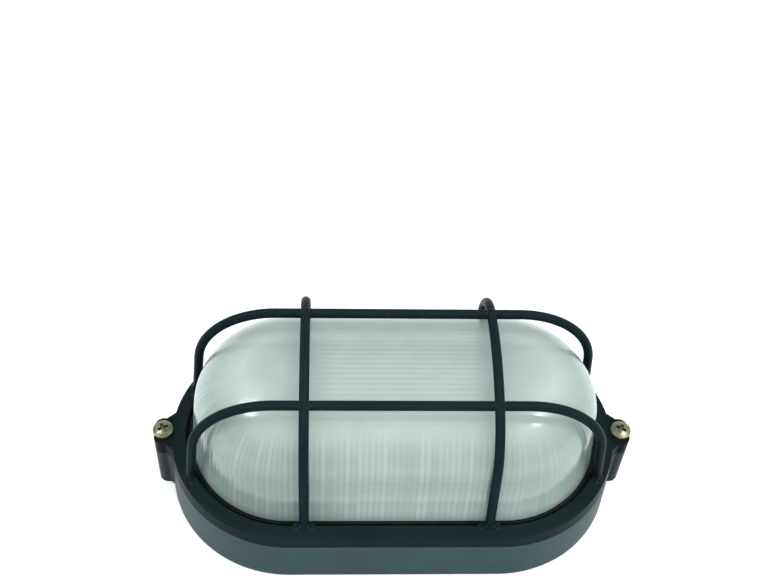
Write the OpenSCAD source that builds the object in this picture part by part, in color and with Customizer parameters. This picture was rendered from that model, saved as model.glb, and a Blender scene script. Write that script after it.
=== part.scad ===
// Oval bulkhead light with a cast wire-form guard, 221 x 113 x 99 mm.
// The long axis is X, the width is Y and Z points out of the wall; the origin is the centre of the flat back.
// Every oval section is a track: a profile carried along two straight sides and round two half-circle ends.

/* [Base] */
// Straight length between the centres of the two round ends
straight = 95; // [70:0.5:120]
// Half width of the base at its back
base_r = 56.3; // [48:0.1:72]
// Depth of the base, from its back to its rim
base_h = 25.9; // [20:0.1:36]
// How much smaller the base is at its rim than at its back, on each side
base_taper = 0.8; // [0:0.1:2]
// Rounding of the outer back edge
base_edge = 1.4; // [0.5:0.1:2.5]
// Thickness of the floor
floor_t = 3; // [2:0.5:5]
// Thickness of the bowl's inner skin, and of its outer skin
skin_t = 2; // [1.5:0.1:2.2]
// Depth of solid rim above the cored wall
rim_t = 5; // [3:0.5:8]
// Width of the webs that cross the cored wall
web_t = 2.4; // [1.5:0.1:4]
// Fillet between the floor and the bowl's wall
bowl_fillet = 3; // [1:0.5:5]

/* [Lugs] */
// How far each lug reaches past the base's rim
lug_reach = 7.5; // [6.5:0.1:12]
// Width of a lug
lug_w = 14; // [12:0.5:20]
// Rounding of a lug's two outer corners
lug_corner = 4.2; // [2:0.1:5]
// Extra half width of a lug where it joins the rim
lug_root = 3; // [0:0.5:5]
// Gap between the guard's ear and the base's lug
lug_gap = 0.4; // [0.2:0.1:1]

/* [Guard] */
// Thickness of the ring's top plate
plate_t = 2.6; // [2:0.1:5]
// Thickness of the ring's skirt
skirt_t = 2.2; // [2:0.1:3.5]
// How much smaller the ring's top is than its lower edge, on each side
ring_slope = 0.6; // [0:0.1:1.5]
// Rounding of the ring's top edges
ring_edge = 0.8; // [0.4:0.1:1.2]
// Gap between the glass and the ring's inner edge
ring_gap = 3.1; // [2.3:0.1:5]
// Gap between the ring's skirt and the base's rim
skirt_gap = 0.25; // [0.2:0.05:0.5]
// Radius of the guard's bars
bar_r = 2.15; // [1.5:0.05:2.5]
// Distance from the ring's inner edge to the middle of a hoop's foot
hoop_land = 1; // [0.8:0.1:3]
// Distance from the ring's inner edge to the middle of a lengthwise bar's foot
bar_land = 2.5; // [0.8:0.1:4]
// Distance of each lengthwise bar from the middle
bar_y = 24.1; // [18:0.1:28]
// Distance of each cross hoop from the middle
hoop_x = 41; // [30:0.5:46]
// Clear height between the top of the glass and the hoops
cage_gap = 9.3; // [5:0.1:15]
// Lean of a hoop's leg, in degrees
hoop_lean = 8; // [3:0.1:9]
// Radius of a hoop's shoulder
hoop_shoulder = 29.6; // [24:0.1:34]
// Radius of a hoop's crown
hoop_crown = 73.4; // [70:0.1:95]
// Lean of a lengthwise bar's leg, in degrees
bar_lean = 5.4; // [2:0.1:8]
// Radius of a lengthwise bar's bend
bar_bend = 36.1; // [25:0.1:40]
// How far the lengthwise bars lie below the hoops where they cross
bar_drop = 0.4; // [0:0.1:1]
// Radius of the knuckle at a crossing
knuckle_r = 2.7; // [2.2:0.1:3.2]
// Radius of the flare at a bar's foot
foot_r = 3.1; // [2.4:0.1:4]
// Height of the flare at a bar's foot
foot_h = 3.2; // [2:0.1:6]
// Radius of the fillet webs that run along the ring from each foot
web_fillet = 3.4; // [2:0.1:5]
// Thickness of those fillet webs
foot_web_t = 2.6; // [2:0.1:3.6]

/* [Glass] */
// Height of the glass above the guard's ring
glass_h = 51.7; // [44:0.1:60]
// Thickness of the glass
glass_t = 3.6; // [2.5:0.1:5]
// Draft of the glass wall, in degrees
glass_draft = 5.1; // [3:0.1:9]
// Radius of the glass's shoulder
glass_shoulder = 25.2; // [20:0.1:30]
// Radius of the glass's crown
glass_crown = 75.3; // [70:0.1:95]
// Spacing of the ribs inside the glass
rib_pitch = 4; // [3:0.1:6]
// Radius of a rib
rib_r = 1.6; // [1.2:0.1:2]
// How far a rib stands out of the glass
rib_h = 0.7; // [0.3:0.1:1]
// How far the crown's ribs end short of the hoops
rib_inset = 4; // [0:0.5:8]
// Width of the foot flange
flange_w = 6.8; // [5:0.1:9]
// Thickness of the foot flange
flange_t = 3.4; // [2.5:0.1:5]
// How far the flange rests on the base's rim
seat_w = 2; // [1.5:0.1:3]

/* [Gasket] */
// Rubber under the flange
gasket_low = 1.2; // [0.8:0.1:2]
// Rubber above the flange
gasket_high = 0.8; // [0.5:0.1:1.5]
// Rubber round the flange's edge
gasket_edge = 0.9; // [0.6:0.1:1.5]
// Height of the lip that lies against the glass
gasket_lip_h = 1.1; // [0.8:0.1:1.2]
// Thickness of that lip
gasket_lip_t = 1.5; // [1:0.1:2]

/* [Cover screws] */
// Radius of the screw's shank
screw_r = 2.5; // [2:0.25:3]
// Length of the screw under its head
screw_l = 22; // [18:1:24]
// Radius of the head
head_r = 4.7; // [4:0.1:5.5]
// Height of the head
head_h = 3.2; // [2.5:0.1:4.5]

/* [Mounting] */
// Distance of each fixing hole from the centre of its round end
fix_reach = 37.5; // [34:0.1:42]
// Radius of a fixing hole
fix_r = 2.75; // [2:0.25:3.5]
// Radius of the pad round a fixing hole
pad_r = 6.5; // [5:0.5:7]
// Height of that pad
pad_h = 2; // [1:0.5:4]
// Radius of the hole for the cable in its grommet
cable_r = 4; // [3:0.25:5]
// Radius of the grommet's waist
entry_r = 6.5; // [6:0.25:8]

/* [Lamp and holder] */
// Radius of the lamp's globe
globe_r = 30; // [25:0.5:30]
// Whole length of the lamp with its cap
lamp_l = 105; // [95:1:110]
// Radius of the lamp's cap
cap_r = 13.1; // [13:0.05:13.2]
// Gap between the globe and the base's floor
globe_gap = 9; // [6:0.5:12]
// Outer radius of the holder's front skirt
holder_r = 20.5; // [19:0.5:22]
// Length of the holder
holder_l = 44; // [40:1:50]
// Distance from the centre of the left round end to the holder's back
holder_reach = 32; // [26:1:34]
// Thickness of the bracket's strip
strip_t = 1.6; // [1.2:0.1:2.5]
// Width of the bracket's strip
strip_w = 18; // [14:0.5:20]
// Height of the posts that carry the bracket
post_h = 8; // [5:0.5:9]

/* [Hidden] */

// Smooth circles; everything round here stays a true circle, arc or torus
$fn = 64;

// Small clearance between a piece and what it touches on another surface of revolution
fit = 0.05;
// How far a bar's stretches stop short of each other; a ball half as much wider than the bar joins them
joint_gap = 0.06;
end_x = straight / 2;
fix_x = end_x + fix_reach;

// The chain of radii at the rim, from the outside in
rim_r = base_r - base_taper;
ring_out = rim_r - ring_slope;
skirt_in = rim_r - skirt_t;
gasket_out = skirt_in - 0.3;
flange_r = gasket_out - gasket_edge - 0.1;
glass_r = flange_r - flange_w;
ring_in = glass_r + ring_gap;
hoop_foot = ring_in + hoop_land;
bowl_r = flange_r - seat_w;

// The chain of heights at the rim, from the back out
glass_low = base_h + gasket_low;
flange_top = glass_low + flange_t;
plate_low = flange_top + gasket_high;
ring_top = plate_low + plate_t;
glass_top = ring_top + glass_h;
hoop_h = glass_h + cage_gap + bar_r;

// Lugs, ears and their screws
lug_out = end_x + rim_r + lug_reach;
screw_x = lug_out - lug_corner;
lug_in = end_x + skirt_in + 0.6;
ear_low = base_h + lug_gap;
screw_low = ring_top - screw_l;

// The holder lies along X with its mouth to the right
lamp_z = floor_t + globe_gap + globe_r;
holder_back = -end_x - holder_reach;
holder_mouth = holder_back + holder_l;
cap_tip = holder_back + 17.5;
shell_t = 0.4;
shell_r = cap_r + 0.3;
strip_low = floor_t + post_h;
post_x = [holder_back + 8, holder_back + 22];
post_r = 4;
holder_screw_up = 11;
small_r = 1.5;
bracket_screw_r = 2;
hole_skin = 1.3;

// Terminal block: two poles side by side, tubes along X
block_l = 20;
block_pitch = 12;
barrel_r = 4.6;
block_w = block_pitch + 2 * barrel_r;
block_h = 13;
block_x = holder_back + 48;
block_y = bowl_r - 6 - block_w / 2;
block_z = floor_t + 1;
tube_r = 2.6;
tube_bore = 1.7;
tube_z = block_z + 5;
clamp_x = 5.5;

// Holder's wire clamps, one on each side of its back
clamp_y = 11;
clamp_w = 7;
clamp_l = 6;
clamp_h = 8;
clamp_pos = holder_back + 6;

// Cable entry and earth point on the floor
entry = [block_x + 40, block_y];
earth = [block_x + 80, block_y - 4];
earth_pad_h = 3;
earth_r = 2;

// Leads, from the block's tubes to the holder's clamps; the route's points are chosen by hand
wire_r = 1.3;
wire_sides = 8;
wire_steps = 3;
live_route = [
    [block_x - 10.5, block_y + 6, tube_z], [block_x - 16, block_y + 6, tube_z + 0.4],
    [block_x - 22, block_y + 5, tube_z + 2.5], [block_x - 29, block_y + 2, tube_z + 8.5],
    [block_x - 36, block_y - 2, tube_z + 17.5], [block_x - 41, block_y - 5, tube_z + 26],
    [clamp_pos, clamp_y + 16, lamp_z - 1.6], [clamp_pos, clamp_y + 11, lamp_z - 0.2],
    [clamp_pos, clamp_y + 6.5, lamp_z], [clamp_pos, clamp_y + 2.5, lamp_z]
];
neutral_route = [
    [block_x - 10.5, block_y - 6, tube_z], [block_x - 14, block_y - 7, tube_z - 0.3],
    [block_x - 16.2, block_y - 10.5, tube_z - 1], [block_x - 17, block_y - 16, tube_z - 1.8],
    [block_x - 17, block_y - 25, tube_z - 2.4], [block_x - 17, block_y - 35, tube_z - 2.4],
    [block_x - 17.5, -11, tube_z - 1.6], [block_x - 20, -19, tube_z + 1],
    [block_x - 24.5, -25.5, tube_z + 6.5], [block_x - 30.5, -29.5, tube_z + 13.5],
    [block_x - 37, -31, tube_z + 21], [clamp_pos + 0.8, -clamp_y - 18, lamp_z - 5.5],
    [clamp_pos, -clamp_y - 12.5, lamp_z - 1.2], [clamp_pos, -clamp_y - 7, lamp_z],
    [clamp_pos, -clamp_y - 2.5, lamp_z]
];

// Centre of the shoulder of an arch: a leg that leans in from its foot [half_w, 0], then a shoulder arc,
// then a crown arc whose top is height above the foot, each tangent to the next
function arch_shoulder(half_w, height, lean, shoulder, crown) =
    let (
        up = [-sin(lean), cos(lean)],
        inward = [-cos(lean), -sin(lean)],
        centre = [0, height - crown],
        p = [half_w, 0] + shoulder * inward - centre,
        b = p * up,
        rise = -b + sqrt(b * b - p * p + pow(crown - shoulder, 2))
    )
    centre + p + rise * up;

// Height of a hoop's crown above the ring at a distance y from the middle
function hoop_z(y) = hoop_h - hoop_crown + sqrt(hoop_crown * hoop_crown - y * y);
bar_h = hoop_z(bar_y) - bar_drop;
bar_foot_r = ring_in + bar_land;
bar_foot = end_x + sqrt(bar_foot_r * bar_foot_r - bar_y * bar_y);

// A point on a smooth curve through four points, t of the way from b to c
function blend_point(a, b, c, d, t) =
    0.5 * (2 * b + (c - a) * t + (2 * a - 5 * b + 4 * c - d) * t * t + (3 * b - a - 3 * c + d) * t * t * t);

// A smooth route through hand-chosen points
function smooth_route(p, steps) = [
    for (i = [0 : len(p) - 2], k = [0 : steps - 1])
        blend_point(p[max(i - 1, 0)], p[i], p[i + 1], p[min(i + 2, len(p) - 1)], k / steps),
    p[len(p) - 1]
];

function unit(v) = v / norm(v);

// Carries a profile, drawn with x outwards and y up, along the oval track
module track() {
    for (side = [0, 1]) {
        mirror([side, 0, 0]) translate([end_x, 0, 0]) rotate([0, 0, -90])
            rotate_extrude(angle = 180) children();
        mirror([0, side, 0]) translate([-end_x, 0, 0]) rotate([90, 0, 90])
            linear_extrude(straight) children();
    }
}

// Plan of a lug at the right end, rounded at its outer corners and wider at its root
module lug_plan() {
    flat_x = lug_out - lug_corner;
    half = lug_w / 2;
    translate([lug_in, -half]) square([flat_x - lug_in, lug_w]);
    translate([lug_in, lug_corner - half]) square([lug_out - lug_in, lug_w - 2 * lug_corner]);
    for (s = [-1, 1])
        translate([flat_x, s * (half - lug_corner)]) circle(lug_corner);
    polygon([
        [lug_in, -half - lug_root], [lug_in + lug_root + 0.6, -half],
        [lug_in + lug_root + 0.6, half], [lug_in, half + lug_root]
    ]);
}

// A round post that stands on the floor
module floor_post(at, radius, height) {
    translate([at.x, at.y, floor_t - 0.5]) cylinder(r = radius, h = height + 0.5);
}

// A blind screw hole, from the floor up through its post
module floor_hole(at, radius) {
    translate([at.x, at.y, hole_skin]) cylinder(r = radius, h = base_h);
}

// A pan-head screw with its head's seat at the origin, pointing down
module pan_screw(shank_r, shank_l, pan_r, pan_h) {
    dome_r = pan_r * 1.9;
    edge = min(1, pan_h / 2);
    recess_w = pan_r * 0.22;
    recess_l = pan_r * 1.05;
    difference() {
        union() {
            translate([0, 0, -shank_l]) cylinder(r = shank_r, h = shank_l + 0.1);
            translate([0, 0, 0.5 - shank_l - 1]) cylinder(r1 = shank_r - 0.5, r2 = shank_r, h = 0.5);
            intersection() {
                rotate_extrude() {
                    square([pan_r - edge, pan_h]);
                    square([pan_r, pan_h - edge]);
                    translate([pan_r - edge, pan_h - edge]) circle(edge);
                }
                translate([0, 0, pan_h - dome_r]) sphere(r = dome_r);
            }
        }
        for (a = [0, 90])
            rotate([0, 0, a]) translate([-recess_l / 2, -recess_w / 2, pan_h * 0.42])
                cube([recess_l, recess_w, pan_h]);
    }
}

// Outline of the base's section
module base_section() {
    polygon([
        [0, 0], [base_r - base_edge, 0], [base_r - base_edge, base_edge],
        [base_r, base_edge], [rim_r, base_h], [0, base_h]
    ]);
    translate([base_r - base_edge, base_edge]) circle(base_edge);
}

// Outline of the bowl's hollow
module bowl_section() {
    translate([0, floor_t + bowl_fillet]) square([bowl_r, base_h]);
    translate([0, floor_t]) square([bowl_r - bowl_fillet, base_h]);
    translate([bowl_r - bowl_fillet, floor_t + bowl_fillet]) circle(bowl_fillet);
}

// The pocket that cores the wall from the back, between its two skins, crossed by webs
module wall_core() {
    deep = base_h - rim_t;
    web_span = straight / 3;
    difference() {
        track() polygon([
            [bowl_r + skin_t, -1], [base_r - skin_t, -1],
            [rim_r - skin_t + 0.3, deep], [bowl_r + skin_t + 0.3, deep]
        ]);
        for (k = [-1.5 : 1 : 1.5])
            translate([k * web_span - web_t / 2, -base_r - 5, 0]) cube([web_t, 2 * base_r + 10, base_h]);
        for (side = [-1, 1], a = [-45, 45])
            translate([side * end_x, 0, 0]) rotate([0, 0, a + (side < 0 ? 180 : 0)])
                translate([0, -web_t / 2, 0]) cube([base_r + 5, web_t, base_h]);
        for (side = [-1, 1])
            translate([side * (end_x + bowl_r) - 12, -lug_w / 2, 0]) cube([24, lug_w, base_h]);
    }
}

module base() {
    color("#3e565b") difference() {
        union() {
            difference() {
                union() {
                    track() base_section();
                    for (side = [0, 1]) mirror([side, 0, 0]) linear_extrude(base_h) lug_plan();
                }
                track() bowl_section();
                wall_core();
            }
            for (side = [-1, 1]) floor_post([side * fix_x, 0], pad_r, pad_h);
            for (x = post_x) floor_post([x, 0], post_r, post_h);
            floor_post([block_x, block_y], post_r, 1);
            floor_post(earth, 5, earth_pad_h);
        }
        for (side = [-1, 1]) {
            translate([side * screw_x, 0, screw_low - 3]) cylinder(r = screw_r + fit, h = base_h);
            translate([side * fix_x, 0, -1]) cylinder(r = fix_r, h = base_h);
        }
        translate([entry.x, entry.y, -1]) cylinder(r = entry_r, h = floor_t + 2);
        for (x = post_x) floor_hole([x, 0], bracket_screw_r + fit);
        floor_hole([block_x, block_y], small_r + fit);
        floor_hole(earth, earth_r + fit);
    }
}

// Section of the guard's ring: a top plate with rounded edges and a skirt that stands over the base's rim
module ring_section() {
    skirt_low = base_h + skirt_gap;
    polygon([
        [ring_in, plate_low], [skirt_in, plate_low], [skirt_in, skirt_low], [rim_r, skirt_low],
        [ring_out, ring_top - ring_edge], [ring_out - ring_edge, ring_top - ring_edge],
        [ring_out - ring_edge, ring_top], [ring_in + ring_edge, ring_top],
        [ring_in + ring_edge, ring_top - ring_edge], [ring_in, ring_top - ring_edge]
    ]);
    for (x = [ring_in + ring_edge, ring_out - ring_edge])
        translate([x, ring_top - ring_edge]) circle(ring_edge);
}

// A round bar between two points of an arch's plane, a hair short of both
module rod_line(from, to) {
    d = to - from;
    start = from + joint_gap * unit(d);
    translate([start.x, start.y, 0]) rotate([0, 0, atan2(d.y, d.x)]) rotate([0, 90, 0])
        cylinder(r = bar_r, h = norm(d) - 2 * joint_gap);
}

// A round bar bent along an arc in an arch's plane, a hair short of both ends
module rod_arc(centre, radius, from, to) {
    trim = joint_gap / radius * 180 / PI;
    translate([centre.x, centre.y, 0]) rotate([0, 0, from + trim])
        rotate_extrude(angle = to - from - 2 * trim) translate([radius, 0]) circle(bar_r);
}

// The joint between two stretches of a bar, a ball whose poles lie along the bar's own direction there
module rod_joint(at, direction) {
    translate([at.x, at.y, 0]) rotate([0, 0, direction]) rotate([0, 90, 0]) sphere(r = bar_r + joint_gap / 2);
}

// The leg of a bar from its foot in the ring up to its shoulder, with the flare at its foot
module rod_leg(foot, lean, shoulder_centre, shoulder) {
    sink = 1;
    out = [cos(lean), sin(lean)];
    up = [-sin(lean), cos(lean)];
    rod_line(foot - sink * up, shoulder_centre + shoulder * out);
    rod_joint(shoulder_centre + shoulder * out, 90 + lean);
    translate([foot.x + 0.3 * sin(lean), foot.y - 0.3 * cos(lean), 0]) rotate([0, 0, 90 + lean])
        rotate([0, 90, 0]) cylinder(r1 = foot_r, r2 = bar_r - fit, h = foot_h);
}

// The web that runs along the ring on both sides of a bar's foot, with a hollow fillet up to the bar
module foot_web() {
    side = bar_r - 0.25;
    reach = side + 0.85 * web_fillet;
    rotate([90, 0, 0]) translate([0, 0, -foot_web_t / 2]) linear_extrude(foot_web_t) difference() {
        translate([-reach, -1]) square([2 * reach, 1 + web_fillet]);
        for (s = [-1, 1])
            translate([s * (side + web_fillet), web_fillet]) circle(web_fillet);
    }
}

// A cross hoop in its own plane: two legs, two shoulders and a crown
module hoop() {
    shoulder = arch_shoulder(hoop_foot, hoop_h, hoop_lean, hoop_shoulder, hoop_crown);
    crown = [0, hoop_h - hoop_crown];
    turn = atan2(shoulder.y - crown.y, shoulder.x);
    for (m = [0, 1]) mirror([m, 0, 0]) {
        rod_leg([hoop_foot, 0], hoop_lean, shoulder, hoop_shoulder);
        rod_arc(shoulder, hoop_shoulder, hoop_lean, turn);
        rod_joint(shoulder + hoop_shoulder * [cos(turn), sin(turn)], 90 + turn);
    }
    rod_arc(crown, hoop_crown, turn, 180 - turn);
}

// A lengthwise bar in its own plane: two legs, two bends and a straight top
module long_bar() {
    rise = (bar_h - bar_bend + bar_bend * sin(bar_lean)) / cos(bar_lean);
    bend = [bar_foot - rise * sin(bar_lean) - bar_bend * cos(bar_lean), bar_h - bar_bend];
    for (m = [0, 1]) mirror([m, 0, 0]) {
        rod_leg([bar_foot, 0], bar_lean, bend, bar_bend);
        rod_arc(bend, bar_bend, bar_lean, 90);
        rod_joint([bend.x, bar_h], 0);
    }
    rod_line([-bend.x, bar_h], [bend.x, bar_h]);
}

module guard() {
    color("#1d2a2f") difference() {
        union() {
            track() ring_section();
            for (side = [0, 1]) mirror([side, 0, 0]) translate([0, 0, ear_low])
                linear_extrude(ring_top - ear_low) lug_plan();
            for (x = [-hoop_x, hoop_x])
                translate([x, 0, ring_top]) rotate([90, 0, 90]) hoop();
            for (y = [-bar_y, bar_y])
                translate([0, y, ring_top]) rotate([90, 0, 0]) long_bar();
            for (x = [-hoop_x, hoop_x], y = [-bar_y, bar_y])
                translate([x, y, ring_top + hoop_z(bar_y) - bar_drop / 2]) sphere(r = knuckle_r);
            for (x = [-hoop_x, hoop_x], y = [-hoop_foot, hoop_foot])
                translate([x, y, ring_top]) foot_web();
            for (x = [-1, 1], y = [-1, 1])
                translate([x * bar_foot, y * bar_y, ring_top])
                    rotate([0, 0, 90 + x * y * asin(bar_y / bar_foot_r)]) foot_web();
        }
        for (side = [-1, 1])
            translate([side * screw_x, 0, ear_low - 1]) cylinder(r = screw_r + 2 * fit, h = ring_top);
    }
}

// Section of the dome to a depth inside its outer face: leaning wall, shoulder arc and crown arc
module dome_section(depth) {
    shoulder = arch_shoulder(glass_r, glass_h, glass_draft, glass_shoulder, glass_crown);
    crown = [0, glass_h - glass_crown];
    out = [cos(glass_draft), sin(glass_draft)];
    low = glass_low - ring_top - 1;
    wall_top = shoulder + (glass_shoulder - depth) * out;
    wall_low = [glass_r - depth / cos(glass_draft) - low * tan(glass_draft), low];
    far = 2 * glass_crown * unit(shoulder - crown);
    intersection() {
        union() {
            polygon([[0, low], wall_low, wall_top, shoulder, [0, shoulder.y]]);
            translate(shoulder) circle(glass_shoulder - depth);
            intersection() {
                translate(crown) circle(glass_crown - depth);
                polygon([crown, crown + far, [0, crown.y + far.y]]);
            }
        }
        translate([0, low]) square([2 * glass_r, 2 * glass_h]);
    }
}

// Lengthwise ribs on the underside of the crown, between the hoops
module crown_ribs() {
    inner = glass_crown - glass_t;
    step = rib_pitch / inner * 180 / PI;
    junction = arch_shoulder(glass_r, glass_h, glass_draft, glass_shoulder, glass_crown);
    count = floor(atan2(junction.x, junction.y - glass_h + glass_crown) / step);
    half_l = hoop_x - rib_inset;
    for (k = [-count : count])
        translate([-half_l, 0, ring_top + glass_h - glass_crown]) rotate([k * step, 0, 0])
            translate([0, 0, inner + rib_r - rib_h]) rotate([0, 90, 0]) cylinder(r = rib_r, h = 2 * half_l);
}

// Upright ribs on the inner face of the wall, spaced along the track and leaning with the wall
module wall_ribs() {
    low_r = glass_r - glass_t / cos(glass_draft) + rib_r - rib_h;
    side_n = floor(straight / 2 / rib_pitch);
    end_n = round(PI * low_r / rib_pitch);
    for (k = [-side_n : side_n], s = [0, 1])
        mirror([0, s, 0]) translate([k * rib_pitch, low_r, ring_top]) rotate([0, 0, 90]) wall_rib();
    for (k = [1 : end_n - 1], s = [0, 1])
        mirror([s, 0, 0]) translate([end_x, 0, ring_top]) rotate([0, 0, 90 - k * 180 / end_n])
            translate([low_r, 0, 0]) wall_rib();
}

// One rib, from under the flange up into the shoulder, where the glass curves over it
module wall_rib() {
    shoulder = arch_shoulder(glass_r, glass_h, glass_draft, glass_shoulder, glass_crown);
    runout = 1.1 * sqrt(2 * (glass_shoulder - glass_t) * rib_h);
    top = (shoulder.y + glass_shoulder * sin(glass_draft)) / cos(glass_draft) + runout;
    low = (ring_top - glass_low) / cos(glass_draft) + 2;
    rotate([0, -glass_draft, 0]) translate([0, 0, -low]) cylinder(r = rib_r, h = low + top);
}

module lens() {
    color("#bccdc9", 0.75) difference() {
        union() {
            track() intersection() {
                translate([0, ring_top]) dome_section(0);
                translate([0, glass_low]) square([glass_r * 2, glass_top]);
            }
            track() translate([glass_r - 3, glass_low]) square([flange_r - glass_r + 3, flange_t]);
        }
        difference() {
            track() translate([0, ring_top]) dome_section(glass_t);
            crown_ribs();
            wall_ribs();
        }
    }
}

module lens_gasket() {
    inner = glass_r + 0.5;
    color("#15191a") track() {
        translate([inner + 0.4, base_h]) square([gasket_out - inner - 0.4, gasket_low]);
        translate([flange_r + 0.1, base_h]) square([gasket_edge, plate_low - base_h]);
        translate([inner, flange_top]) square([gasket_out - inner, gasket_high]);
        translate([inner, flange_top]) square([gasket_lip_t, gasket_high + gasket_lip_h]);
    }
}

module cover_screw() {
    color("#a39a6a") pan_screw(screw_r, screw_l, head_r, head_h);
}

module cover_screw_left() {
    translate([-screw_x, 0, ring_top]) rotate([0, 0, 25]) cover_screw();
}

module cover_screw_right() {
    translate([screw_x, 0, ring_top]) rotate([0, 0, 60]) cover_screw();
}

// Turns a shape drawn along Z so that it lies along X on the lamp's axis
module on_lamp_axis(x) {
    translate([x, 0, lamp_z]) rotate([0, 90, 0]) children();
}

// The porcelain holder: a thick cup with a recess for each wire clamp at its back
module lampholder_body() {
    back_r = holder_r - 1.5;
    shell_depth = holder_mouth - cap_tip - 2;
    color("#ece9e0") difference() {
        on_lamp_axis(holder_back) union() {
            cylinder(r = back_r, h = 15);
            translate([0, 0, 14]) cylinder(r = holder_r, h = holder_l - 14);
        }
        on_lamp_axis(holder_mouth - shell_depth) cylinder(r = shell_r + shell_t + fit, h = holder_l);
        on_lamp_axis(holder_mouth - 4) cylinder(r1 = shell_r + shell_t + fit, r2 = holder_r - 2, h = 5);
        on_lamp_axis(cap_tip - 4) cylinder(r = 7, h = 10);
        for (side = [-1, 1])
            translate([clamp_pos - clamp_l / 2 - 0.3, side > 0 ? clamp_y - clamp_w / 2 - 0.3 : -holder_r - 1,
                       lamp_z - clamp_h / 2 - 0.05])
                cube([clamp_l + 0.6, holder_r + 1.3 - clamp_y + clamp_w / 2, holder_r * 2]);
        for (s = [-1, 1])
            translate([0, 0, s * holder_screw_up]) on_lamp_axis(holder_back - 1)
                cylinder(r = small_r + fit, h = 9);
    }
}

// The drawn metal cup that takes the lamp's cap, open at its mouth, with a hole for the centre contact
module lampholder_shell() {
    deep = holder_mouth - cap_tip - 2 - 0.1;
    color("#c9c3ad") on_lamp_axis(holder_mouth - deep) difference() {
        cylinder(r = shell_r + shell_t, h = deep - 3.5);
        translate([0, 0, shell_t]) cylinder(r = shell_r, h = deep);
        translate([0, 0, -1]) cylinder(r = 8, h = 3);
    }
}

// The centre contact: a stamped spring strip with a round tip, on the floor of its recess
module lampholder_contact() {
    color("#c2a24e") {
        on_lamp_axis(cap_tip - 4 + fit) cylinder(r = 5.5, h = 0.8);
        on_lamp_axis(cap_tip - 3.3) cylinder(r = 1.6, h = 2.4);
        on_lamp_axis(cap_tip - 1.2) cylinder(r = 3, h = 1);
    }
}

// The two brass clamps for the leads, with a hole for the wire and one for the screw
module lampholder_terminals() {
    color("#c2a24e") for (side = [-1, 1])
        difference() {
            translate([clamp_pos - clamp_l / 2, side * clamp_y - clamp_w / 2, lamp_z - clamp_h / 2])
                cube([clamp_l, clamp_w, clamp_h]);
            translate([clamp_pos, side * clamp_y - clamp_w, lamp_z]) rotate([-90, 0, 0])
                cylinder(r = wire_r + 0.15, h = 2 * clamp_w);
            translate([clamp_pos, side * clamp_y, lamp_z + 1]) cylinder(r = small_r + fit, h = clamp_h);
        }
}

module lampholder_terminal_screws() {
    color("#b9b9b2") for (side = [-1, 1])
        translate([clamp_pos, side * clamp_y, lamp_z + clamp_h / 2 + 1]) pan_screw(small_r, 3.4, 2.7, 1.8);
}

// The bent strip: a foot on the two posts and an upright behind the holder
module lampholder_bracket() {
    foot_end = post_x[1] + 7;
    top = lamp_z + holder_screw_up + 6;
    back = holder_back - strip_t;
    color("#b4b8b8") difference() {
        union() {
            translate([back, -strip_w / 2, strip_low]) cube([foot_end - back - 4, strip_w, strip_t]);
            translate([foot_end - strip_w / 2, 0, strip_low]) cylinder(r = strip_w / 2, h = strip_t);
            translate([back, -strip_w / 2, strip_low])
                cube([strip_t, strip_w, top - strip_low - strip_w / 2]);
            translate([back, 0, top - strip_w / 2]) rotate([0, 90, 0]) cylinder(r = strip_w / 2, h = strip_t);
            bend_web();
        }
        for (x = post_x) translate([x, 0, strip_low - 1]) cylinder(r = bracket_screw_r + 0.2, h = 5);
        for (s = [-1, 1])
            translate([0, 0, s * holder_screw_up]) on_lamp_axis(back - 1) cylinder(r = small_r + 0.2, h = 5);
    }
}

// The pressed rib that stiffens the bracket's bend
module bend_web() {
    translate([holder_back - 0.1, 0, strip_low + strip_t - 0.1]) rotate([90, 0, 0])
        translate([0, 0, -1.2]) linear_extrude(2.4) polygon([[0, 0], [3, 0], [0, 5]]);
}

module holder_screws() {
    color("#b9b9b2") for (s = [-1, 1])
        translate([holder_back - strip_t, 0, lamp_z + s * holder_screw_up]) rotate([0, -90, 0])
            pan_screw(small_r, 8, 2.9, 2);
}

module bracket_screws() {
    color("#b9b9b2") for (x = post_x)
        translate([x, 0, strip_low + strip_t]) pan_screw(bracket_screw_r, 7, 3.6, 2.4);
}

// The moulded block: two barrels joined by a waist with the fixing hole
module terminal_block() {
    color("#dcd8c8") difference() {
        union() {
            for (s = [-1, 1]) {
                translate([block_x - block_l / 2, block_y + s * block_pitch / 2 - barrel_r, block_z])
                    cube([block_l, 2 * barrel_r, 5]);
                translate([block_x - block_l / 2, block_y + s * block_pitch / 2, tube_z]) rotate([0, 90, 0])
                    cylinder(r = barrel_r, h = block_l);
                for (d = [-clamp_x, clamp_x])
                    translate([block_x + d, block_y + s * block_pitch / 2, tube_z])
                        cylinder(r = 3.4, h = block_h - 5);
            }
            translate([block_x - 5, block_y - block_pitch / 2, block_z]) cube([10, block_pitch, 6]);
        }
        for (s = [-1, 1]) {
            translate([block_x - block_l, block_y + s * block_pitch / 2, tube_z]) rotate([0, 90, 0])
                cylinder(r = tube_r + fit, h = 2 * block_l);
            for (d = [-clamp_x, clamp_x])
                translate([block_x + d, block_y + s * block_pitch / 2, tube_z])
                    cylinder(r = 2.2, h = block_h);
        }
        translate([block_x, block_y, block_z - 1]) cylinder(r = small_r + 0.2, h = block_h);
        translate([block_x, block_y, block_z + 6]) cylinder(r = 2.9, h = block_h);
    }
}

module terminal_tubes() {
    tube_l = block_l - 2;
    color("#c2a24e") for (s = [-1, 1])
        translate([block_x - tube_l / 2, block_y + s * block_pitch / 2, tube_z]) difference() {
            rotate([0, 90, 0]) cylinder(r = tube_r, h = tube_l);
            translate([-1, 0, 0]) rotate([0, 90, 0]) cylinder(r = tube_bore, h = tube_l + 2);
            for (d = [-clamp_x, clamp_x])
                translate([tube_l / 2 + d, 0, 0]) cylinder(r = 1.2 + fit, h = 4);
        }
}

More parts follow.
